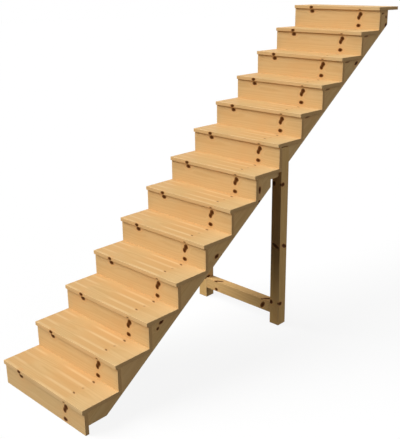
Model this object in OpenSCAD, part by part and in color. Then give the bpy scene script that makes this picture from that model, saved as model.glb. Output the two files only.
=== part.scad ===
// Straight wooden stair for outdoors. Closed steps are carried by two
// sawtooth stringers, which pass through the forked tops of two posts. A
// low rail ties the posts together.
// The origin is on the ground, midway across the stair, at the front face
// of the first riser. X runs across the stair with the right hand side at
// +X, Y runs the way one climbs, and Z is up.

/* [Flight] */
// Width across the treads
stair_w = 900; // [700:10:1300]
// Horizontal distance from one riser to the next
going = 272; // [220:1:330]
// Height from one tread to the next
rise = 192; // [150:1:230]
// Height from the ground to the first tread
first_rise = 185; // [140:1:225]

/* [Boards] */
// Thickness of a tread
tread_t = 28; // [20:1:45]
// Overhang of a tread in front of the riser below it
nosing = 14; // [0:1:40]
// Thickness of a riser
riser_t = 28; // [15:1:40]

/* [Stringers] */
// Thickness of a stringer
stringer_t = 40; // [25:1:60]
// Distance from the end of a tread to the outer face of the stringer
stringer_inset = 25; // [10:1:60]
// Least width of a stringer, from the corner of a step to its lower edge
throat = 30; // [20:1:80]
// Height of the level bottom edge of a stringer above the ground
foot_clear = 40; // [0:1:80]
// Length of stringer behind the last riser, under the top tread
top_bearing = 147; // [60:1:240]

/* [Notches] */
// Distance from the upright cut of the notch to the post behind it
notch_lead = 98; // [40:1:150]
// Height of the upright cut
notch_h = 61; // [20:1:70]

/* [Posts] */
// Side of the square post
post_w = 90; // [70:1:140]
// Number of the riser that the posts stand behind
post_riser = 8; // [5:1:11]
// Gap between the top of a post and the tread above it
post_gap = 8; // [2:1:20]

/* [Rail] */
// Height of the rail's section
rail_h = 95; // [60:1:140]
// Depth of the rail's section, from front to back
rail_d = 76; // [40:1:90]
// Height of the rail's lower edge above the ground
rail_clear = 92; // [20:1:400]

/* [Hidden] */

steps = 13;
tread_d = nosing + going + riser_t;
pitch = atan(rise / going);

// Outer face of the right stringer, and front face and top of the posts
stringer_x = stair_w / 2 - stringer_inset;
post_y = riser_back(post_riser);
post_top = tread_under(post_riser) - post_gap;
stringer_end_y = riser_back(steps) + top_bearing;

tread_color = [0.87, 0.72, 0.50];
riser_color = [0.85, 0.67, 0.45];
frame_color = [0.62, 0.50, 0.34];

// Front and back faces of riser i, counted from 1 at the bottom
function riser_front(i) = (i - 1) * going;
function riser_back(i) = riser_front(i) + riser_t;

// Top and underside of tread i
function tread_top(i) = first_rise + (i - 1) * rise;
function tread_under(i) = tread_top(i) - tread_t;

// Height of the stringer's sloping lower edge at y, and where it has the
// height z. The edge runs parallel to the line through the steps' inner
// corners, at the throat's distance below it.
function lower_z(y) = tread_under(1) + (y - riser_back(2)) * rise / going
    - throat / cos(pitch);
function lower_y(z) = riser_back(2) + (z - tread_under(1)
    + throat / cos(pitch)) * going / rise;

// A tread runs back under the riser that stands on it
module tread(i) {
    color(tread_color)
    translate([-stair_w / 2, riser_front(i) - nosing, tread_under(i)])
        cube([stair_w, tread_d, tread_t]);
}

// The first riser stands on the ground, the others each on a tread
module riser(i) {
    base_z = i == 1 ? 0 : tread_top(i - 1);
    color(riser_color)
    translate([-stair_w / 2, riser_front(i), base_z])
        cube([stair_w, riser_t, tread_under(i) - base_z]);
}

// Side outline of a stringer, with Y across and Z up
module stringer_outline() {
    teeth = [for (i = [1:steps]) each [
        [riser_back(i), tread_under(i)],
        [min(riser_back(i + 1), stringer_end_y), tread_under(i)]
    ]];
    notch_y = post_y - notch_lead;
    difference() {
        polygon(concat(teeth, [
            [stringer_end_y, lower_z(stringer_end_y)],
            [lower_y(foot_clear), foot_clear],
            [riser_back(1), foot_clear]
        ]));
        translate([notch_y, 0])
            square([notch_lead, lower_z(notch_y) + notch_h]);
    }
}

// The right stringer, its outline carried across its thickness
module stringer_plate() {
    translate([stringer_x - stringer_t, 0, 0])
        rotate([90, 0, 90])
            linear_extrude(stringer_t)
                stringer_outline();
}

// The post is forked around the stringer, which runs on through it
module post_body() {
    difference() {
        translate([stair_w / 2 - post_w, post_y, 0])
            cube([post_w, post_w, post_top]);
        stringer_plate();
    }
}

module stringer_right() { color(frame_color) stringer_plate(); }
module stringer_left() { mirror([1, 0, 0]) stringer_right(); }
module post_right() { color(frame_color) post_body(); }
module post_left() { mirror([1, 0, 0]) post_right(); }

// The rail butts against the inner faces of the posts, flush in front
module cross_rail() {
    rail_l = stair_w - 2 * post_w;
    color(frame_color)
    translate([-rail_l / 2, post_y, rail_clear])
        cube([rail_l, rail_d, rail_h]);
}

tread(1);  // tread_01
tread(2);  // tread_02
tread(3);  // tread_03
tread(4);  // tread_04
tread(5);  // tread_05
tread(6);  // tread_06
tread(7);  // tread_07
tread(8);  // tread_08
tread(9);  // tread_09
tread(10);  // tread_10
tread(11);  // tread_11
tread(12);  // tread_12
tread(13);  // tread_13
riser(1);  // riser_01
riser(2);  // riser_02
riser(3);  // riser_03
riser(4);  // riser_04
riser(5);  // riser_05
riser(6);  // riser_06
riser(7);  // riser_07
riser(8);  // riser_08
riser(9);  // riser_09
riser(10);  // riser_10
riser(11);  // riser_11
riser(12);  // riser_12
riser(13);  // riser_13
stringer_left();
stringer_right();
post_left();
post_right();
cross_rail();
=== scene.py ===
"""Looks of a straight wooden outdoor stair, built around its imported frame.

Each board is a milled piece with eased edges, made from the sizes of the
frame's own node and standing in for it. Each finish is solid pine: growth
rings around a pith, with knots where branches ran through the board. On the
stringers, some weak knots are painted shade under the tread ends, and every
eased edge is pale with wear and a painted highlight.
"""

import logging
import math
from dataclasses import dataclass
from enum import Enum
from functools import reduce
from typing import NamedTuple, Sequence

import bpy
import numpy as np
from mathutils import Matrix, Vector


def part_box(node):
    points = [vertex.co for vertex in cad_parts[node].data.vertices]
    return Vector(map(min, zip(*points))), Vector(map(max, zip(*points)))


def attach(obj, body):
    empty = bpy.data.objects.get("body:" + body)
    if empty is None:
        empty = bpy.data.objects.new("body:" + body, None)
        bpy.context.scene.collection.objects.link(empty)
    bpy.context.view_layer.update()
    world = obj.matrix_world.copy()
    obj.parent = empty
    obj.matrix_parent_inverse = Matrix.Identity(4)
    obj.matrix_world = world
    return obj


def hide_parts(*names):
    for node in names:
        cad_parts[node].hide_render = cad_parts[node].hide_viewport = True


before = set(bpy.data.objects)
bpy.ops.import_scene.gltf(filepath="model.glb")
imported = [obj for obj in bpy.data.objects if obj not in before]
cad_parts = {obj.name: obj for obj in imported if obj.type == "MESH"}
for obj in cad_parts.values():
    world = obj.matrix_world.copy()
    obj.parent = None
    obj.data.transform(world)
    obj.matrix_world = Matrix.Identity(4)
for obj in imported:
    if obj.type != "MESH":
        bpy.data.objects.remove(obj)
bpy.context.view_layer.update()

log = logging.getLogger("stair")

# Attributes of each point: its place in the grain, its board's seed, and its edge's
# wear and painted highlight.
GRAIN = "grain"
SEED = "board_seed"
EDGE = "edge"

# How far the wear and painted highlight of an edge spread past its curve, in metres.
WEAR_AND_HIGHLIGHT_BAND = 0.004

STEPS = 13

# How the corners of a node are told apart: decimals of a metre that count,
# and how near a corner lies to a tread's underside to be one of its seats.
CORNER_DECIMALS = 5
SEAT_TOLERANCE = 1e-4


# --------------------------------------------------------------------------
# Shader maths
# --------------------------------------------------------------------------


class Value:
    """A number that varies over a surface, written as Python maths."""

    def __init__(self, nodes: "Graph", socket: bpy.types.NodeSocket) -> None:
        """Wraps one output socket.

        Args:
            nodes: The graph that the socket belongs to.
            socket: The output socket that carries the number.
        """
        self.nodes = nodes
        self.socket = socket

    def _math(self, operation: str, *terms: "Value | float") -> "Value":
        """Adds one Math node and returns its result."""
        return self.nodes.maths(operation, *terms)

    def __add__(self, other: "Value | float") -> "Value":
        """Sum."""
        return self._math("ADD", self, other)

    def __sub__(self, other: "Value | float") -> "Value":
        """Difference."""
        return self._math("SUBTRACT", self, other)

    def __rsub__(self, other: float) -> "Value":
        """Difference with the number first."""
        return self._math("SUBTRACT", other, self)

    def __mul__(self, other: "Value | float") -> "Value":
        """Product."""
        return self._math("MULTIPLY", self, other)

    def __truediv__(self, other: "Value | float") -> "Value":
        """Quotient."""
        return self._math("DIVIDE", self, other)

    def fraction(self) -> "Value":
        """The part after the decimal point."""
        return self._math("FRACT", self)

    def root(self) -> "Value":
        """Square root."""
        return self._math("SQRT", self)

    def sine(self) -> "Value":
        """Sine of an angle in radians."""
        return self._math("SINE", self)

    def absolute(self) -> "Value":
        """The number without its sign."""
        return self._math("ABSOLUTE", self)

    def clamped(self) -> "Value":
        """The number kept between 0 and 1."""
        return self._math("MINIMUM", self.most(0.0), 1.0)

    def most(self, other: "Value | float") -> "Value":
        """The larger of two numbers."""
        return self._math("MAXIMUM", self, other)

    def ramp(self, low: float, high: float) -> "Value":
        """A smooth step: 0 at low, 1 at high, and level outside them."""
        return self.nodes.smooth(self, low, high)


class Graph:
    """A node tree that is being filled."""

    def __init__(self, tree: bpy.types.NodeTree) -> None:
        """Takes over a tree and empties it.

        Args:
            tree: The tree of a material or of the world.
        """
        self.tree = tree
        self.tree.nodes.clear()

    def node(
        self,
        kind: str,
        settings: dict[str, object] | None = None,
        inputs: dict[str | int, object] | None = None,
    ) -> bpy.types.Node:
        """Adds a node of any type.

        Args:
            kind: The node's type, such as ShaderNodeMath.
            settings: Properties set before the sockets, such as operation.
            inputs: Socket names or numbers, with a value or a link for each.

        Returns:
            The new node.
        """
        made = self.tree.nodes.new(kind)
        for key, value in (settings or {}).items():
            setattr(made, key, value)
        for key, value in (inputs or {}).items():
            socket = made.inputs[key]
            if isinstance(value, Value):
                self.tree.links.new(value.socket, socket)
            elif isinstance(value, bpy.types.NodeSocket):
                self.tree.links.new(value, socket)
            else:
                socket.default_value = value
        return made

    def maths(self, operation: str, *terms: Value | float) -> Value:
        """Adds a Math node on numbers."""
        made = self.node(
            "ShaderNodeMath", {"operation": operation}, dict(enumerate(terms))
        )
        return Value(self, made.outputs[0])

    def smooth(self, value: Value, low: float, high: float) -> Value:
        """Adds a smooth step from 0 at low to 1 at high."""
        made = self.node(
            "ShaderNodeMapRange",
            {"interpolation_type": "SMOOTHSTEP"},
            {"Value": value, "From Min": low, "From Max": high},
        )
        return Value(self, made.outputs["Result"])

    def attribute(self, name: str) -> bpy.types.Node:
        """Adds a node that reads a mesh attribute."""
        return self.node(
            "ShaderNodeAttribute",
            {"attribute_type": "GEOMETRY", "attribute_name": name},
        )

    def noise(self, place: Sequence[Value], detail: float) -> Value:
        """Adds soft noise with one lump in a unit, centred on zero.

        Args:
            place: The three coordinates that the noise is read at.
            detail: Number of finer layers.

        Returns:
            Noise from about -0.5 to 0.5.
        """
        joined = self.node("ShaderNodeCombineXYZ", None, dict(enumerate(place)))
        made = self.node(
            "ShaderNodeTexNoise",
            {"noise_dimensions": "3D"},
            {"Vector": joined.outputs[0], "Scale": 1.0, "Detail": detail},
        )
        return Value(self, made.outputs[0]) - 0.5

    def blend(
        self, amount: Value | float, first: object, second: object
    ) -> bpy.types.NodeSocket:
        """Mixes two colours.

        Args:
            amount: How much of the second colour shows.
            first: Colour or link below.
            second: Colour or link above.

        Returns:
            The mixed colour.
        """
        made = self.node(
            "ShaderNodeMix",
            {"data_type": "RGBA"},
            {"Factor": amount, 6: first, 7: second},
        )
        return made.outputs[2]

    def shown(self) -> Value:
        """1 for rays that show the surroundings, and 0 for rays that light.

        Rays from the camera show them, and so do rays in gloss or glass.
        """
        path = self.node("ShaderNodeLightPath")
        return (
            Value(self, path.outputs["Is Camera Ray"])
            .most(Value(self, path.outputs["Is Glossy Ray"]))
            .most(Value(self, path.outputs["Is Transmission Ray"]))
        )

    def either(
        self, choice: Value | float, first: bpy.types.Node, second: bpy.types.Node
    ) -> bpy.types.Node:
        """Shows the first shader where the choice is 0, the second where 1."""
        return self.node(
            "ShaderNodeMixShader",
            None,
            {0: choice, 1: first.outputs[0], 2: second.outputs[0]},
        )


def new_material(name: str) -> tuple[bpy.types.Material, Graph]:
    """An empty material and the graph that fills it."""
    material = bpy.data.materials.new(name)
    material.use_nodes = True
    return material, Graph(material.node_tree)


def rgb(red: int, green: int, blue: int) -> tuple[float, float, float, float]:
    """A screen colour as the linear colour that shaders take.

    The sRGB curve is a straight line near black, and above it a power.

    Args:
        red: Red from 0 to 255.
        green: Green from 0 to 255.
        blue: Blue from 0 to 255.

    Returns:
        Linear red, green, blue and an alpha of 1.
    """
    screen = np.array([red, green, blue]) / 255
    linear = np.where(
        screen <= 0.04045, screen / 12.92, ((screen + 0.055) / 1.055) ** 2.4
    )
    return (*linear.tolist(), 1.0)


# --------------------------------------------------------------------------
# Finishes
# --------------------------------------------------------------------------


class Place(NamedTuple):
    """Where a point lies in the grain of its board, in metres."""

    along: Value
    across: Value
    through: Value


@dataclass(frozen=True)
class Streaks:
    """Noise that is drawn out along the grain.

    It has so many lumps in a metre along and across the grain. The shift is
    how far a board's seed of 1 would move it along each direction.
    """

    along: float
    across: float
    shift: tuple[float, float, float] = (0.0, 0.0, 0.0)
    detail: float = 2.0

    def over(self, g: Graph, place: Place, seed: Value) -> Value:
        """The noise at a place.

        Args:
            g: The graph to add to.
            place: Where it is read.
            seed: The board's seed.

        Returns:
            Noise from about -0.5 to 0.5.
        """
        scales = (self.along, self.across, self.across)
        moved = [
            part * scale + seed * shift if shift else part * scale
            for part, scale, shift in zip(place, scales, self.shift)
        ]
        return g.noise(moved, self.detail)


WANDER = Streaks(1.3, 6, (0, 31, 17))
RIPPLE = Streaks(5, 90, (0, 53, 0))
BAND = Streaks(0.7, 30, (0, 90, 0), detail=3)
FIBRE = Streaks(14, 1100, (0, 70, 0), detail=1)
PATCH = Streaks(3, 7, (50, 0, 0))
FLECK = Streaks(22, 210, (0, 80, 0))
KNOT_OUTLINE = Streaks(70, 70)
KNOT_GRAIN = Streaks(260, 260)


class KnotMasks(NamedTuple):
    """Where the parts of the knots show, each from 0 to 1.

    The swell is how far the growth rings are pushed aside.
    """

    halo: Value
    bark: Value
    wood: Value
    heart: Value
    swell: Value


# Zones of a knot, as distances from its middle where its outline is at 1.
# Each is full inside its first distance and gone outside its second.
HALO_ZONE = (1.0, 2.6)
BARK_ZONE = (0.95, 1.35)
WOOD_ZONE = (0.70, 1.02)
HEART_ZONE = (0.70, 1.0)
CORE_ZONE = (0.15, 0.85)
SWELL_ZONE = (0.0, 4.0)

# How far the outline wavers, how much more a halo shows than its knot is
# dark, and the look of the heart: its core, its rings and its fine grain.
# The rings' sine turns by so many radians from the middle to the outline.
KNOT_WAVER = 0.6
HALO_LIFT = 0.25
CORE_STRENGTH = 0.75
KNOT_RING_TURN = 19.0
KNOT_RING_STRENGTH = 0.16
KNOT_GRAIN_STRENGTH = 0.9

# Distance over which a knot with a reach fades out in depth, in metres.
REACH_FADE = 0.004


class Side(Enum):
    """The side of a board that a branch came out of.

    A FACE knot is round across the board's width, and an EDGE knot is
    round across its thickness.
    """

    FACE = "face"
    EDGE = "edge"


@dataclass(frozen=True)
class Knot:
    """A branch that ran through a board, in metres of the board's grain.

    Its middle lies at along, and at cross over the width or the thickness.
    A lean turns it by sliding the along side with the cross side, and reach
    is the stretch of depth that it fills, or None where it goes through. A
    few weak ones on the stringers are painted shade under the treads.
    """

    along: float
    cross: float
    radius_along: float
    radius_cross: float
    darkness: float = 1.0
    lean: float = 0.0
    side: Side = Side.FACE
    reach: tuple[float, float] | None = None

    def masks(self, place: Place, waver: Value, grainy: Value) -> KnotMasks:
        """Masks of this knot.

        A knot is a leaning ellipse with a wavering outline; the distance is
        1 on that outline. The heart and the knot's own wood lie inside it,
        the bark just on it, and the halo and the swell of the rings spread
        out around it.

        Args:
            place: Place in the grain.
            waver: Noise that bends the outline.
            grainy: Fine noise that roughens the heart.

        Returns:
            The masks.
        """
        on_face = self.side is Side.FACE
        over, depth = (
            (place.across, place.through) if on_face else (place.through, place.across)
        )
        c = over - self.cross
        a = (place.along - self.along + c * self.lean) / self.radius_along
        c = c / self.radius_cross
        distance = (a * a + c * c).root() + waver * KNOT_WAVER
        there: Value | float = 1.0
        if self.reach:
            low, high = self.reach
            there = depth.ramp(low - REACH_FADE, low) * (
                1 - depth.ramp(high, high + REACH_FADE)
            )

        def within(zone: tuple[float, float]) -> Value:
            """1 in the zone's middle, and 0 outside the zone or the reach."""
            return (1 - distance.ramp(*zone)) * there

        rings = (distance * KNOT_RING_TURN).sine() * KNOT_RING_STRENGTH
        rings = rings + grainy * KNOT_GRAIN_STRENGTH
        core = ((1 - distance.ramp(*CORE_ZONE)) * CORE_STRENGTH + rings).clamped()
        return KnotMasks(
            halo=within(HALO_ZONE) * min(1.0, self.darkness + HALO_LIFT),
            bark=within(BARK_ZONE) * self.darkness,
            wood=within(WOOD_ZONE) * self.darkness,
            heart=core * within(HEART_ZONE) * self.darkness,
            swell=within(SWELL_ZONE),
        )


@dataclass(frozen=True)
class Sapwood:
    """Pale bands of sapwood, and the strong figure that they run in.

    The places are the bands' middle lines across the board, and the other
    pairs are stretches along it over which something starts or ends, all
    in metres. The strengths are shares from 0 to 1.
    """

    places: tuple[float, ...] = ()
    half_width: float = 0.0115
    bend: float = 0.012
    strength: float = 0.42
    plain_strength: float = 0.12
    figure_starts: tuple[float, float] = (-0.13, 0.02)
    figure_ends: tuple[float, float] = (0.22, 0.30)
    left_figure_ends: tuple[float, float] = (-0.33, -0.24)
    left_strength: float = 0.8
    pale_starts: tuple[float, float] = (0.22, 0.40)
    pale_strength: float = 0.45

    def figure(self, along: Value) -> Value:
        """1 where the board's figure is strong, and 0 where it is plain.

        It is strong to the right of the middle and again near the left end.
        """
        right = along.ramp(*self.figure_starts) * (1 - along.ramp(*self.figure_ends))
        left = 1 - along.ramp(*self.left_figure_ends)
        return right.most(left * self.left_strength)

    def mask(self, place: Place, wander: Value, band: Value, strong: Value) -> Value:
        """Masks the pale bands.

        A band is 1 on its middle line and falls to 0 a little past its half
        width, and the right end of the board is all a little pale.

        Args:
            place: Place in the grain.
            wander: Slow noise that bends the bands.
            band: Soft noise that breaks the bands up.
            strong: Where the figure is strong.

        Returns:
            How much of the pale colour shows.
        """
        across = place.across + wander * self.bend
        core, fade = self.half_width * 0.2, self.half_width * 1.5
        lines = [
            1 - (across - middle).absolute().ramp(core, fade) for middle in self.places
        ]
        broken = (strong + self.plain_strength) * (band * 2.0 + 1.0)
        pale = reduce(Value.most, lines) * broken
        pale = pale + place.along.ramp(*self.pale_starts) * self.pale_strength
        return (pale * self.strength).clamped()


# Cosines of the angle to the grain between which a face counts as sawn.
SAWN_END = (0.75, 0.95)


@dataclass(frozen=True)
class Pine:
    """Planed pine under a clear satin oil.

    The pith, its shift and bends, the ring width and the relief's depth are
    in metres. The knot push and the ripple are in rings. The late wood and
    the ring end say where, from 0 to 1 through a ring, the colour rises and
    then falls back. The other numbers are shares of the colours or of the
    surface's roughness and relief.
    """

    name: str
    knots: tuple[Knot, ...]
    grain_axis: tuple[float, float, float] = (1.0, 0.0, 0.0)
    light: tuple[float, float, float, float] = rgb(222, 187, 133)
    dark: tuple[float, float, float, float] = rgb(201, 159, 101)
    warm: tuple[float, float, float, float] = rgb(216, 168, 109)
    sap: tuple[float, float, float, float] = rgb(237, 207, 157)
    end_wood: tuple[float, float, float, float] = rgb(178, 134, 84)
    knot_heart: tuple[float, float, float, float] = rgb(40, 15, 1)
    knot_wood: tuple[float, float, float, float] = rgb(104, 56, 8)
    knot_bark: tuple[float, float, float, float] = rgb(62, 32, 3)
    knot_halo: tuple[float, float, float, float] = rgb(222, 166, 106)
    sapwood: Sapwood = Sapwood()
    pith_across: float = 0.0
    pith_through: float = -0.11
    pith_shift: float = 0.05
    bend_across: float = 0.045
    bend_through: float = 0.035
    ring_width: float = 0.0085
    knot_push: float = 1.6
    ripple: float = 0.30
    late_wood: tuple[float, float] = (0.20, 0.84)
    late_wood_on_ends: tuple[float, float] = (0.45, 0.80)
    ring_end: tuple[float, float] = (0.86, 1.0)
    contrast: float = 0.34
    streaks: float = 0.50
    grit: float = 0.22
    base_tone: float = 0.30
    patches: tuple[float, float] = (-0.10, 0.30)
    patchiness: float = 0.5
    figure_warmth: float = 0.55
    # A pale band on the eased edges: wear, and a painted highlight on the rounding.
    edge_wear_and_highlight: float = 0.14
    edge_flecks: float = 0.3
    end_strength: float = 0.35
    end_rings: float = 0.5
    halo_strength: float = 0.55
    bark_strength: float = 0.85
    roughness: float = 0.54
    sheen: float = 0.08
    relief_strength: float = 0.30
    relief_depth: float = 0.0005

    def material(self) -> bpy.types.Material:
        """Builds the finish.

        Returns:
            The finished material.
        """
        material, g = new_material(self.name)
        split = g.node(
            "ShaderNodeSeparateXYZ", None, {0: g.attribute(GRAIN).outputs["Vector"]}
        )
        place = Place(*(Value(g, socket) for socket in split.outputs))
        seed = Value(g, g.attribute(SEED).outputs["Fac"])
        wander, fibre, fleck = (
            streaks.over(g, place, seed) for streaks in (WANDER, FIBRE, FLECK)
        )
        knots = self._knots(g, place, seed)
        ends = self._ends(g)
        saw = self._rings(g, place, seed, wander, knots.swell)
        late = saw.ramp(*self.late_wood) * (1 - saw.ramp(*self.ring_end))

        band = BAND.over(g, place, seed)
        tone = (
            late * self.contrast
            + band * self.streaks
            + (fibre + fleck) * self.grit
            + self.base_tone
        )
        colour = g.blend(tone.clamped(), self.light, self.dark)
        patches = PATCH.over(g, place, seed).ramp(*self.patches)
        colour = g.blend(patches * self.patchiness, colour, self.warm)
        if self.sapwood.places:
            strong = self.sapwood.figure(place.along)
            colour = g.blend(strong * self.figure_warmth, colour, self.warm)
            pale = self.sapwood.mask(place, wander, band, strong)
            colour = g.blend(pale, colour, self.sap)
        # Every eased edge is paler, as wear and as a painted highlight on the
        # rounding, broken up by flecks.
        worn_and_highlit = Value(g, g.attribute(EDGE).outputs["Fac"])
        worn_and_highlit = worn_and_highlit * (fleck * self.edge_flecks + self.edge_wear_and_highlight)
        colour = g.blend(worn_and_highlit, colour, self.sap)

        on_ends = saw.ramp(*self.late_wood_on_ends) * (1 - saw.ramp(*self.ring_end))
        sawn = ends * (on_ends * self.end_rings + self.end_strength)
        colour = g.blend(sawn, colour, self.end_wood)
        colour = g.blend(knots.halo * self.halo_strength, colour, self.knot_halo)
        colour = g.blend(knots.bark * self.bark_strength, colour, self.knot_bark)
        colour = g.blend(knots.wood, colour, self.knot_wood)
        colour = g.blend(knots.heart, colour, self.knot_heart)

        rough = (
            late * -0.05
            + fibre * 0.10
            + knots.wood * 0.20
            + ends * 0.15
            + self.roughness
        )
        relief = (
            late * 0.35
            + fibre * 0.6
            + fleck * 0.5
            + knots.wood * 0.9
            + knots.heart * -1.6
        )
        bump = g.node(
            "ShaderNodeBump",
            None,
            {
                "Strength": self.relief_strength,
                "Distance": self.relief_depth,
                "Height": relief,
            },
        )
        shader = g.node(
            "ShaderNodeBsdfPrincipled",
            None,
            {
                "Base Color": colour,
                "Roughness": rough,
                "Normal": bump.outputs[0],
                "Specular IOR Level": self.sheen,
            },
        )
        g.node("ShaderNodeOutputMaterial", None, {0: shader.outputs[0]})
        return material

    def _rings(
        self, g: Graph, place: Place, seed: Value, wander: Value, swell: Value
    ) -> Value:
        """The growth rings, each rising from 0 at its start to 1 at its end.

        They follow the distance from the pith, bent by slow noise along the
        board and pushed aside around each knot. The board's seed moves the
        pith, so that no two boards are alike.

        Args:
            g: The graph to add to.
            place: Place in the grain.
            seed: The board's seed.
            wander: Slow noise that bends the rings.
            swell: How far the knots push the rings aside.

        Returns:
            How far through its ring each place lies.
        """
        side = place.across - self.pith_across + seed * self.pith_shift
        side = side + wander * self.bend_across
        deep = place.through - self.pith_through + wander * self.bend_through
        rings = (side * side + deep * deep).root() / self.ring_width
        ripple = RIPPLE.over(g, place, seed) * self.ripple
        return (rings + swell * self.knot_push + ripple).fraction()

    def _ends(self, g: Graph) -> Value:
        """1 on the sawn ends, where the surface faces along the grain."""
        facing = g.node("ShaderNodeNewGeometry").outputs["Normal"]
        made = g.node(
            "ShaderNodeVectorMath",
            {"operation": "DOT_PRODUCT"},
            {0: facing, 1: self.grain_axis},
        )
        return Value(g, made.outputs["Value"]).absolute().ramp(*SAWN_END)

    def _knots(self, g: Graph, place: Place, seed: Value) -> KnotMasks:
        """Masks of all the knots.

        Args:
            g: The graph to add to.
            place: Place in the grain.
            seed: The board's seed.

        Returns:
            The masks, each the strongest of the knots' own.
        """
        waver = KNOT_OUTLINE.over(g, place, seed)
        grainy = KNOT_GRAIN.over(g, place, seed)
        found = [knot.masks(place, waver, grainy) for knot in self.knots]
        return KnotMasks(*(reduce(Value.most, parts) for parts in zip(*found)))


# --------------------------------------------------------------------------
# The finishes of this stair
# --------------------------------------------------------------------------

# Depths that a knot on one side of a piece fills, in metres. A post's depth
# runs from its front on the face, and from its inner side on the edge.
FRONT_OF_TREAD = (-0.01, 0.03)
FRONT_OF_POST = (-0.01, 0.012)
INNER_SIDE_OF_POST = (-0.01, 0.012)
OUTER_SIDE_OF_POST = (0.078, 0.10)
TOP_OF_RAIL = (0.088, 0.11)

TREAD_PINE = Pine(
    name="tread_pine",
    knots=(
        # Small spots on the top, in a line across the right end.
        Knot(0.240, 0.248, 0.013, 0.008, 0.55, 0.8),
        Knot(0.243, 0.089, 0.012, 0.007, 0.50, 0.8),
        Knot(0.246, 0.158, 0.010, 0.009, 0.12),
        # One at each end of the front edge, over those of the riser.
        Knot(-0.259, -0.015, 0.0175, 0.0110, 1.0, -0.2, Side.EDGE, FRONT_OF_TREAD),
        Knot(0.255, -0.023, 0.012, 0.005, 0.5, 0.0, Side.EDGE, FRONT_OF_TREAD),
    ),
    sapwood=Sapwood(places=(0.012, 0.080, 0.170, 0.242)),
    pith_across=0.12,
    pith_through=-0.10,
)

RISER_PINE = Pine(
    name="riser_pine",
    knots=(
        # A run of three at the upper right, one under it, one at the left.
        Knot(0.256, -0.035, 0.0180, 0.0165, 1.0),
        Knot(0.248, -0.050, 0.0145, 0.0155, 0.85),
        Knot(0.239, -0.066, 0.0150, 0.0155, 1.0),
        Knot(0.240, -0.132, 0.0195, 0.0135, 1.0),
        Knot(-0.256, -0.023, 0.0205, 0.0135, 1.0),
    ),
    pith_across=-0.06,
    pith_through=-0.12,
    contrast=0.26,
)

STRINGER_PINE = Pine(
    name="stringer_pine",
    light=rgb(222, 186, 129),
    dark=rgb(198, 156, 97),
    warm=rgb(208, 162, 108),
    grain_axis=(0.0, 0.817, 0.577),
    knots=(
        Knot(0.850, 0.030, 0.019, 0.012, 1.0, 0.5),
        Knot(0.802, 0.019, 0.012, 0.010, 0.9),
        Knot(1.476, -0.036, 0.019, 0.014, 1.0, 0.3),
        Knot(2.088, 0.006, 0.015, 0.022, 1.0, -0.5),
        Knot(2.022, -0.063, 0.020, 0.011, 1.0),
        # Painted shade under the tread ends of the upper flight, drawn as weak knots.
        Knot(2.829, 0.056, 0.012, 0.018, 0.40, 1.4),
        Knot(3.157, 0.055, 0.012, 0.018, 0.45, 1.4),
        Knot(3.493, 0.057, 0.012, 0.018, 0.45, 1.4),
        Knot(3.827, 0.057, 0.012, 0.018, 0.45, 1.4),
        # The uppermost step and the plumb end.
        Knot(3.595, -0.038, 0.022, 0.013, 1.0, 0.4),
        Knot(4.133, -0.060, 0.017, 0.014, 1.0),
        Knot(4.171, -0.003, 0.010, 0.013, 1.0),
        # Painted shade under the top tread's overhang, drawn as a weak knot.
        Knot(4.130, 0.062, 0.014, 0.019, 0.60, 1.4),
    ),
    pith_across=-0.02,
    pith_through=-0.13,
)

POST_PINE = Pine(
    name="post_pine",
    light=rgb(222, 184, 122),
    dark=rgb(198, 154, 91),
    warm=rgb(210, 162, 100),
    grain_axis=(0.0, 0.0, 1.0),
    knots=(
        Knot(1.202, 0.019, 0.016, 0.014, 1.0, 0.0, Side.FACE, FRONT_OF_POST),
        Knot(0.689, 0.049, 0.014, 0.029, 1.0, 0.4, Side.FACE, FRONT_OF_POST),
        Knot(0.191, 0.013, 0.017, 0.015, 1.0, 0.0, Side.FACE, FRONT_OF_POST),
        Knot(1.202, 0.020, 0.015, 0.020, 1.0, 0.0, Side.EDGE, OUTER_SIDE_OF_POST),
        Knot(0.687, 0.054, 0.015, 0.027, 1.0, 0.4, Side.EDGE, OUTER_SIDE_OF_POST),
        Knot(0.191, 0.020, 0.015, 0.020, 1.0, 0.2, Side.EDGE, OUTER_SIDE_OF_POST),
        Knot(0.190, 0.028, 0.014, 0.017, 1.0, 0.0, Side.EDGE, INNER_SIDE_OF_POST),
    ),
    pith_across=0.047,
    pith_through=0.043,
    ring_width=0.0055,
)

RAIL_PINE = Pine(
    name="rail_pine",
    light=rgb(222, 183, 123),
    dark=rgb(198, 154, 94),
    warm=rgb(212, 164, 102),
    knots=(
        Knot(-0.226, -0.016, 0.019, 0.021, 1.0, 1.3, Side.EDGE, TOP_OF_RAIL),
        Knot(-0.241, 0.019, 0.016, 0.013, 1.0),
        Knot(0.316, -0.036, 0.018, 0.034, 1.0, 1.1, Side.EDGE, TOP_OF_RAIL),
        Knot(0.284, 0.045, 0.017, 0.027, 1.0, -0.4),
    ),
    pith_across=0.03,
    pith_through=-0.09,
)


# --------------------------------------------------------------------------
# Milled pieces
# --------------------------------------------------------------------------


class Lay(Enum):
    """How a board lies whose grain runs across the stair.

    Each is the board's directions along, across and through its grain.
    """

    FLAT = ((1, 0, 0), (0, 1, 0), (0, 0, 1))
    ON_EDGE = ((1, 0, 0), (0, 0, 1), (0, -1, 0))

    def directions(self) -> np.ndarray:
        """The three directions as the rows of a matrix."""
        return np.array(self.value, float)


class Hand(Enum):
    """A side of the stair, as seen by someone who climbs it."""

    LEFT = "left"
    RIGHT = "right"

    def pick(self, on_left: float, on_right: float) -> float:
        """The one of two numbers that belongs to this side."""
        return on_right if self is Hand.RIGHT else on_left


def slanted(pitch: float) -> np.ndarray:
    """Grain along a slope in the Y and Z plane.

    Args:
        pitch: The slope's angle above the level, in radians.

    Returns:
        The directions along, across and through as the rows of a matrix.
    """
    level, rise = math.cos(pitch), math.sin(pitch)
    return np.array([[0, level, rise], [0, -rise, level], [1, 0, 0]])


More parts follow.
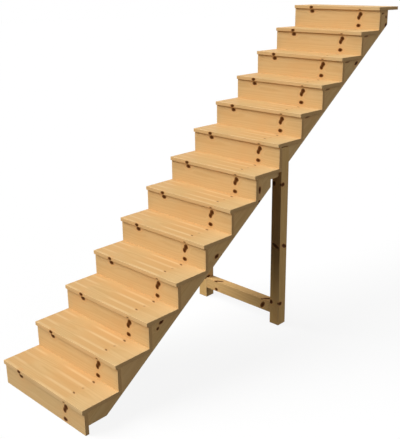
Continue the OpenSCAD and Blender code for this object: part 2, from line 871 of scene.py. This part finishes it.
def inset_outline(outline: np.ndarray, by: float) -> np.ndarray:
    """Moves every side of a closed outline inwards by one distance.

    A corner goes to where its two moved sides cross: it moves by the
    distance times the sum of their normals, over one plus the product of
    the normals.

    Args:
        outline: Corners in order, counterclockwise, as an N by 2 array.
        by: The distance.

    Returns:
        The moved corners.
    """
    side = np.roll(outline, -1, axis=0) - outline
    side /= np.linalg.norm(side, axis=1, keepdims=True)
    normal = np.stack([-side[:, 1], side[:, 0]], axis=1)
    before = np.roll(normal, 1, axis=0)
    scale = by / (1 + (normal * before).sum(axis=1, keepdims=True))
    return outline + (normal + before) * scale


def eased_stations(
    length: float, ease: float, steps: int
) -> tuple[np.ndarray, np.ndarray, np.ndarray]:
    """Places along a piece, and how far its outline is drawn in at each.

    Both ends are quarter circles: at the angle t the place is the ease
    times one less the cosine of t, and the outline is drawn in by the ease
    times one less the sine of t. A ring inside each end cap, and one a
    little way along the piece, hold the edge's wear and painted highlight
    to a narrow band.

    Args:
        length: Length of the piece.
        ease: Radius of the eased edge.
        steps: Number of facets on each quarter circle.

    Returns:
        The places from 0 to the length, the inset at each, and 1 for each
        that is on an eased edge.
    """
    t = np.linspace(0, math.pi / 2, steps + 1)
    place, inset = ease * (1 - np.cos(t)), ease * (1 - np.sin(t))
    place = np.concatenate([[0.0], place, [ease + WEAR_AND_HIGHLIGHT_BAND]])
    inset = np.concatenate([[ease + WEAR_AND_HIGHLIGHT_BAND], inset, [0.0]])
    worn_and_highlit = np.concatenate([[0.0], np.ones(steps + 1), [0.0]])
    return (
        np.concatenate([place, (length - place)[::-1]]),
        np.concatenate([inset, inset[::-1]]),
        np.concatenate([worn_and_highlit, worn_and_highlit[::-1]]),
    )


def eased_corners(
    outline: np.ndarray, ease: float, steps: int
) -> tuple[np.ndarray, np.ndarray]:
    """Rounds the corners of a closed outline.

    Each corner becomes a short quadratic curve from a point one ease
    before it to a point one ease after it: the corner pulls the curve with
    the weight 2t(1-t), and the two points with the weights of its ends. A
    point a little further out on each side ends the corner's wear and
    painted highlight.

    Args:
        outline: Corners in order as an N by 2 array.
        ease: Distance from the corner to each end of its curve.
        steps: Number of facets on each corner.

    Returns:
        The rounded outline, with steps + 3 points for each corner, and 1
        for each point that is on a curve.
    """
    to_last = np.roll(outline, 1, axis=0) - outline
    to_next = np.roll(outline, -1, axis=0) - outline
    to_last /= np.linalg.norm(to_last, axis=1, keepdims=True)
    to_next /= np.linalg.norm(to_next, axis=1, keepdims=True)
    corner, before, after = (a[:, None, :] for a in (outline, to_last, to_next))
    t = np.linspace(0, 1, steps + 1)[None, :, None]
    curve = (
        (1 - t) ** 2 * (corner + before * ease)
        + 2 * t * (1 - t) * corner
        + t**2 * (corner + after * ease)
    )
    far = ease + WEAR_AND_HIGHLIGHT_BAND
    points = np.concatenate(
        [corner + before * far, curve, corner + after * far], axis=1
    )
    worn_and_highlit = np.ones(points.shape[:2])
    worn_and_highlit[:, [0, -1]] = 0
    return points.reshape(-1, 2), worn_and_highlit.ravel()


@dataclass
class Milled:
    """A piece of timber cut to an outline and eased along its edges.

    The outline lies in the plane of the first two axes, counterclockwise,
    and is carried along the third. The grain holds the directions along,
    across and through it as rows. The skew is how far each corner moves
    from the start to the end of the piece, and the corner share is the
    radius of a corner's curve over the ease.
    """

    name: str
    node: str
    outline: np.ndarray
    axes: tuple[int, int, int]
    start: float
    length: float
    grain: np.ndarray
    grain_origin: np.ndarray
    slot: str
    seed: float = 0.0
    ease: float = 0.002
    facets: int = 3
    corner_share: float = 0.9
    skew: np.ndarray | None = None

    def rings(self) -> tuple[np.ndarray, np.ndarray, np.ndarray]:
        """The outline at each station along the piece.

        Returns:
            The rings as a stations by points by 2 array, the place of each
            station, and the wear and painted highlight of each point.
        """
        places, insets, worn_and_highlit_places = eased_stations(
            self.length, self.ease, self.facets
        )
        skew = np.zeros_like(self.outline) if self.skew is None else self.skew
        made = [
            eased_corners(
                inset_outline(self.outline + skew * (place / self.length), inset),
                self.ease * self.corner_share,
                self.facets,
            )
            for place, inset in zip(places, insets)
        ]
        rings = np.stack([ring for ring, _ in made])
        worn_and_highlit = np.maximum(made[0][1][None, :], worn_and_highlit_places[:, None])
        return rings, places, worn_and_highlit

    def mesh(self) -> bpy.types.Mesh:
        """Joins the rings with quads and closes both ends.

        Returns:
            The mesh, with its grain coordinates, its wear and painted highlight
            and its seed as attributes.
        """
        rings, places, worn_and_highlit = self.rings()
        count, around = rings.shape[:2]
        points = np.zeros((count * around, 3))
        points[:, list(self.axes[:2])] = rings.reshape(-1, 2)
        points[:, self.axes[2]] = self.start + np.repeat(places, around)

        grid = np.arange(count * around).reshape(count, around)
        low, high = grid[:-1], grid[1:]
        quads = np.stack(
            [low, np.roll(low, -1, axis=1), np.roll(high, -1, axis=1), high], axis=-1
        ).reshape(-1, 4)
        faces = quads.tolist() + [grid[0][::-1].tolist(), grid[-1].tolist()]

        mesh = bpy.data.meshes.new(self.name)
        mesh.from_pydata(points, [], faces)
        if self._is_left_handed():
            mesh.flip_normals()
        mesh.polygons.foreach_set("use_smooth", np.ones(len(faces), bool))
        local = (points - self.grain_origin) @ self.grain.T
        self._attribute(mesh, GRAIN, "FLOAT_VECTOR", "vector", local)
        self._attribute(mesh, EDGE, "FLOAT", "value", worn_and_highlit)
        self._attribute(mesh, SEED, "FLOAT", "value", np.full(len(points), self.seed))
        mesh.update()
        return mesh

    @staticmethod
    def _attribute(
        mesh: bpy.types.Mesh, name: str, kind: str, field_name: str, data: np.ndarray
    ) -> None:
        """Stores one value or vector for every point of a mesh."""
        made = mesh.attributes.new(name, kind, "POINT")
        made.data.foreach_set(field_name, data.astype(np.float32).ravel())

    def _is_left_handed(self) -> bool:
        """Whether the outline's plane and its axis turn the wrong way."""
        order = np.eye(3)[list(self.axes)]
        return bool(np.linalg.det(order) < 0)

    def make(self, material: bpy.types.Material) -> None:
        """Makes the object, dresses it and puts it in its node's place.

        Args:
            material: The finish.
        """
        mesh = self.mesh()
        mesh.materials.append(material)
        piece = put_in_scene(self.name, mesh)
        piece.modifiers.new("flat_faces", "WEIGHTED_NORMAL")
        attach(piece, "root")
        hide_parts(self.node)
        log.info("%s: %d faces", self.name, len(mesh.polygons))


def put_in_scene(name: str, data: bpy.types.ID) -> bpy.types.Object:
    """Makes an object of a mesh, lamp or camera and shows it."""
    made = bpy.data.objects.new(name, data)
    bpy.context.scene.collection.objects.link(made)
    return made


def box_of(node: str) -> tuple[np.ndarray, np.ndarray]:
    """The lowest and highest corner of a node as arrays."""
    low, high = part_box(node)
    return np.array(low), np.array(high)


def rectangle(low: np.ndarray, high: np.ndarray) -> np.ndarray:
    """The four corners of a rectangle, counterclockwise.

    Args:
        low: Its lowest corner.
        high: Its highest corner.

    Returns:
        The corners as a 4 by 2 array.
    """
    return np.array(
        [[low[0], low[1]], [high[0], low[1]], [high[0], high[1]], [low[0], high[1]]]
    )


# --------------------------------------------------------------------------
# The stair's sub-assemblies
# --------------------------------------------------------------------------


@dataclass(frozen=True)
class Flight:
    """The treads and the risers."""

    ease: float = 0.0018
    tread_finish: Pine = TREAD_PINE
    riser_finish: Pine = RISER_PINE
    seed_range: float = 0.06
    seed_turn: float = 2.4

    def build(self) -> None:
        """Builds every tread and riser as a board across the stair."""
        tread_wood = self.tread_finish.material()
        riser_wood = self.riser_finish.material()
        for number in range(1, STEPS + 1):
            self._board("tread", number, Lay.FLAT).make(tread_wood)
            self._board("riser", number, Lay.ON_EDGE).make(riser_wood)

    def _board(self, kind: str, number: int, lay: Lay) -> Milled:
        """One board, its grain measured from its upper front edge.

        The seeds go round a sine, so that neighbours differ a little.

        Args:
            kind: tread or riser.
            number: The step's number from 1.
            lay: How the board lies.

        Returns:
            The board.
        """
        node = f"{kind}_{number:02d}"
        low, high = box_of(node)
        return Milled(
            name=f"{kind}_board_{number:02d}",
            node=node,
            outline=rectangle(low[1:], high[1:]),
            axes=(1, 2, 0),
            start=float(low[0]),
            length=float(high[0] - low[0]),
            grain=lay.directions(),
            grain_origin=np.array([0.0, low[1], high[2]]),
            slot=f"{kind}_wood",
            seed=self.seed_range * math.sin(number * self.seed_turn),
            ease=self.ease,
        )


class Carriage:
    """The two sawtooth stringers."""

    def __init__(self, finish: Pine = STRINGER_PINE, ease: float = 0.002) -> None:
        """Reads the pitch and the outline from the frame.

        Args:
            finish: The stringers' finish.
            ease: Radius of their eased edges.
        """
        self.finish, self.ease = finish, ease
        first, second = box_of("tread_01")[0], box_of("tread_02")[0]
        self.pitch = math.atan2(second[2] - first[2], second[1] - first[1])
        self.outline = self._outline("stringer_right")

    def _outline(self, node: str) -> np.ndarray:
        """The stringer's outline from its node's corners.

        The corners under the treads run up the stair from the foot; all the
        other corners come back down along the lower edge.

        Args:
            node: The stringer's node.

        Returns:
            The outline in Y and Z, counterclockwise.
        """
        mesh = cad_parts[node].data
        points = np.zeros(len(mesh.vertices) * 3)
        mesh.vertices.foreach_get("co", points)
        flat = points.reshape(-1, 3)[:, 1:]
        flat = np.unique(np.round(flat, CORNER_DECIMALS), axis=0)
        treads = (f"tread_{number:02d}" for number in range(1, STEPS + 1))
        seats = np.array([box_of(tread)[0][2] for tread in treads])
        is_seat = (np.abs(flat[:, 1:] - seats) < SEAT_TOLERANCE).any(axis=1)
        upper, lower = flat[is_seat], flat[~is_seat]
        upper = upper[np.lexsort((upper[:, 1], upper[:, 0]))]
        lower = lower[np.lexsort((-lower[:, 1], -lower[:, 0]))]
        return np.concatenate([upper, lower])[::-1]

    def lower_edge(self, y: float) -> float:
        """Height of the sloping lower edge at a place along the stair."""
        end_y = self.outline[:, 0].max()
        end_z = self.outline[np.isclose(self.outline[:, 0], end_y), 1].min()
        return float(end_z - (end_y - y) * math.tan(self.pitch))

    def build(self) -> None:
        """Builds both stringers."""
        wood = self.finish.material()
        for hand in Hand:
            self._stringer(hand).make(wood)

    def _stringer(self, hand: Hand) -> Milled:
        """One stringer, its grain measured from its outer face.

        Args:
            hand: The side that it is on.

        Returns:
            The stringer.
        """
        node = f"stringer_{hand.value}"
        low, high = box_of(node)
        grain = slanted(self.pitch)
        grain[2] *= hand.pick(-1, 1)
        return Milled(
            name=f"stringer_board_{hand.value}",
            node=node,
            outline=self.outline,
            axes=(1, 2, 0),
            start=float(low[0]),
            length=float(high[0] - low[0]),
            grain=grain,
            grain_origin=np.array([hand.pick(low[0], high[0]), 0, 0]),
            slot="stringer_wood",
            seed=hand.pick(0.35, 0.0),
            ease=self.ease,
        )


@dataclass(frozen=True)
class Trestle:
    """The two posts and the rail between them."""

    carriage: Carriage
    ease: float = 0.0025
    post_finish: Pine = POST_PINE
    rail_finish: Pine = RAIL_PINE

    def build(self) -> None:
        """Builds the posts and the rail."""
        wood = self.post_finish.material()
        for hand in Hand:
            self._post(hand).make(wood)
        self._rail().make(self.rail_finish.material())

    def _post(self, hand: Hand) -> Milled:
        """A post, forked at its top around the stringer.

        The fork's floor slopes with the stringer's lower edge, so the two
        floor corners rise along the post's depth.

        Args:
            hand: The side that it is on.

        Returns:
            The post.
        """
        node = f"post_{hand.value}"
        low, high = box_of(node)
        stringer_low, stringer_high = box_of(f"stringer_{hand.value}")
        slot_left, slot_right = stringer_low[0], stringer_high[0]
        front, back = low[1], high[1]
        floor = self.carriage.lower_edge(front)
        outline = np.array(
            [
                [low[0], low[2]],
                [high[0], low[2]],
                [high[0], high[2]],
                [slot_right, high[2]],
                [slot_right, floor],
                [slot_left, floor],
                [slot_left, high[2]],
                [low[0], high[2]],
            ]
        )
        skew = np.zeros_like(outline)
        skew[4:6, 1] = self.carriage.lower_edge(back) - floor
        return Milled(
            name=f"{node}_timber",
            node=node,
            outline=outline,
            axes=(0, 2, 1),
            start=float(front),
            length=float(back - front),
            grain=np.array([[0, 0, 1], [hand.pick(-1, 1), 0, 0], [0, 1, 0]], float),
            grain_origin=np.array([hand.pick(high[0], low[0]), front, 0.0]),
            slot="post_wood",
            seed=hand.pick(0.3, 0.1),
            ease=self.ease,
            skew=skew,
        )

    def _rail(self) -> Milled:
        """The rail, with its grain across the stair."""
        low, high = box_of("cross_rail")
        return Milled(
            name="rail_timber",
            node="cross_rail",
            outline=rectangle(low[1:], high[1:]),
            axes=(1, 2, 0),
            start=float(low[0]),
            length=float(high[0] - low[0]),
            grain=Lay.ON_EDGE.directions(),
            grain_origin=np.array([0.0, low[1], low[2]]),
            slot="rail_wood",
            seed=0.2,
            ease=self.ease,
        )


# --------------------------------------------------------------------------
# Studio
# --------------------------------------------------------------------------


WHITE = (1.0, 1.0, 1.0, 1.0)
COOL_WHITE = (0.94, 0.97, 1.0, 1.0)


@dataclass(frozen=True)
class Lamp:
    """A far, wide lamp that lights the whole stair evenly.

    It lies towards a direction from the stair. Its level is the brightness
    that it gives to a white surface that faces it, where 1 shows white as
    white, and its spread is its width as an angle in degrees.
    """

    name: str
    towards: tuple[float, float, float]
    level: float
    spread: float

    def build(self) -> None:
        """Adds the lamp."""
        data = bpy.data.lights.new(self.name, "SUN")
        data.energy = self.level * math.pi
        data.angle = math.radians(self.spread)
        lamp = put_in_scene(self.name, data)
        lamp.rotation_euler = Vector(self.towards).to_track_quat("Z", "Y").to_euler()


@dataclass(frozen=True)
class Camera:
    """A camera at the front right that looks a little down.

    The yaw turns it from +Y towards +X and the pitch raises it, in radians.
    Its place and its reach are in metres, its lens and sensor in
    millimetres, and the shift is a share of the sensor.
    """

    place: tuple[float, float, float] = (3.527, -2.0938, 2.6879)
    yaw: float = -0.7305
    pitch: float = -0.3042
    lens: float = 56.14
    sensor: float = 36.0
    shift: tuple[float, float] = (-0.0683, -0.0499)
    reach: float = 200.0

    def build(self) -> None:
        """Adds the camera and looks through it."""
        data = bpy.data.cameras.new("camera")
        data.sensor_width = self.sensor
        data.lens = self.lens
        data.shift_x, data.shift_y = self.shift
        data.clip_end = self.reach
        camera = put_in_scene("camera", data)
        camera.matrix_world = self._pose()
        bpy.context.scene.camera = camera

    def _pose(self) -> Matrix:
        """The camera's place and directions; it looks along its own -Z."""
        level = math.cos(self.pitch)
        ahead = Vector(
            (
                level * math.sin(self.yaw),
                level * math.cos(self.yaw),
                math.sin(self.pitch),
            )
        )
        right = Vector((math.cos(self.yaw), -math.sin(self.yaw), 0))
        turned = Matrix((right, right.cross(ahead), -ahead)).transposed()
        return Matrix.Translation(self.place) @ turned.to_4x4()


@dataclass(frozen=True)
class Studio:
    """Floor, surround, soft light and camera.

    The floor and the surround look white, but they light the stair only
    with their shade, so that the underside of the stair stays dark. The
    shadow depth is how far the floor's look follows the light on it.
    """

    floor_size: float = 80.0
    floor_shade: float = 0.11
    shadow_depth: float = 0.11
    surround_shade: float = 0.04
    lamps: tuple[Lamp, ...] = (
        Lamp("key", (-0.559, -0.518, 0.648), level=1.36, spread=48.0),
        Lamp("fill", (0.82, 0.42, 0.38), level=0.28, spread=60.0),
    )
    camera: Camera = Camera()

    def build(self) -> None:
        """Sets up the whole studio."""
        self._floor()
        self._surround()
        for lamp in self.lamps:
            lamp.build()
        self.camera.build()
        bpy.context.scene.view_settings.view_transform = "Standard"

    def _floor(self) -> None:
        """A level floor that looks white and keeps a faint shadow.

        What shows is mostly a white glow with a little matt white in it;
        what lights the stair from below is a darker matt.
        """
        half = self.floor_size / 2
        corners = rectangle(np.array([-half, -half]), np.array([half, half]))
        points = np.column_stack([corners, np.zeros(4)])
        mesh = bpy.data.meshes.new("studio_floor")
        mesh.from_pydata(points, [], [[0, 1, 2, 3]])
        material, g = new_material("floor_white")
        white = g.node("ShaderNodeBsdfDiffuse", None, {"Color": WHITE})
        glow = g.node("ShaderNodeEmission", None, {"Color": WHITE})
        dark = (self.floor_shade,) * 3 + (1.0,)
        matt = g.node("ShaderNodeBsdfDiffuse", None, {"Color": dark})
        look = g.either(self.shadow_depth, glow, white)
        surface = g.either(g.shown(), matt, look)
        g.node("ShaderNodeOutputMaterial", None, {0: surface.outputs[0]})
        mesh.materials.append(material)
        put_in_scene("studio_floor", mesh)

    def _surround(self) -> None:
        """A surround that looks white and gives a low, even light."""
        world = bpy.data.worlds.new("surround")
        bpy.context.scene.world = world
        world.use_nodes = True
        g = Graph(world.node_tree)
        low = g.node(
            "ShaderNodeBackground",
            None,
            {"Color": COOL_WHITE, "Strength": self.surround_shade},
        )
        white = g.node("ShaderNodeBackground", None, {"Color": WHITE, "Strength": 1.0})
        surface = g.either(g.shown(), low, white)
        g.node("ShaderNodeOutputWorld", None, {0: surface.outputs[0]})


# --------------------------------------------------------------------------
# The whole scene
# --------------------------------------------------------------------------


def corners(bounds: tuple[Vector, Vector]) -> list[list[float]]:
    """A box as plain lists."""
    return [[float(v) for v in corner] for corner in bounds]


def main() -> None:
    """Builds the stair and its studio, and reports each piece."""
    logging.basicConfig(level=logging.INFO, format="%(message)s")
    Flight().build()
    carriage = Carriage()
    carriage.build()
    Trestle(carriage).build()
    Studio().build()


if __name__ == "__main__":
    main()
